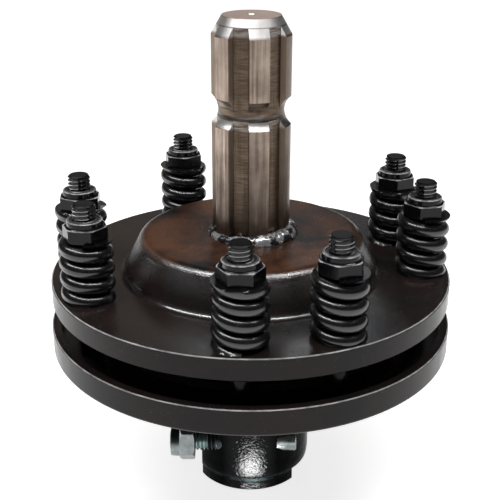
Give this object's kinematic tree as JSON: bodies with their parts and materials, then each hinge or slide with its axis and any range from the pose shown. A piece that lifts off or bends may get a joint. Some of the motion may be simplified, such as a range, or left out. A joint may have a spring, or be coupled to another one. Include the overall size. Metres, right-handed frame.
{
  "type": "torque limiter",
  "caption": "Friction torque limiter with a male splined shaft, domed plate, spring bolts, dished plate and a female splined clamp hub.",
  "frame": {"origin": "centre of the hub's foot, on the common axis", "axes": "+Z along the common axis towards the splined shaft, -Y towards the hub's clamp pin"},
  "size_m": [0.184, 0.184, 0.221],
  "materials": {
    "zinc_forging": "zinc plated, forged grain",
    "zinc_fastener": "bright zinc plated",
    "machined_steel": "bare, machined",
    "weld_metal": "rippled weld",
    "black_paint": "semi-gloss black paint",
    "black_oxide": "satin black",
    "spring_black": "satin black",
    "lining": "matt",
    "nylon_black": "matt",
    "nylon_white": "matt"
  },
  "bodies": {
    "hub": {"splined_hub": "zinc_forging", "clamp_pin": "zinc_fastener", "clamp_nut": "zinc_fastener", "clamp_nut_ring": "nylon_white"},
    "clutch": {"lower_plate": "black_paint", "lower_lining": "lining", "upper_lining": "lining", "domed_plate": "black_paint", "output_shaft": "machined_steel", "shaft_weld": "weld_metal", "plate_bolts": "black_oxide", "lock_nuts": "black_oxide", "lock_nut_rings": "nylon_black", "spring_1": "spring_black", "spring_2": "spring_black", "spring_3": "spring_black", "spring_4": "spring_black", "spring_5": "spring_black", "spring_6": "spring_black", "spring_7": "spring_black", "spring_8": "spring_black"}
  },
  "joints": [
    {"name": "slip", "type": "hinge", "parent": "hub", "child": "clutch", "pos_m": [0, 0, 0.096], "axis": [0, 0, 1], "continuous": true}
  ]
}
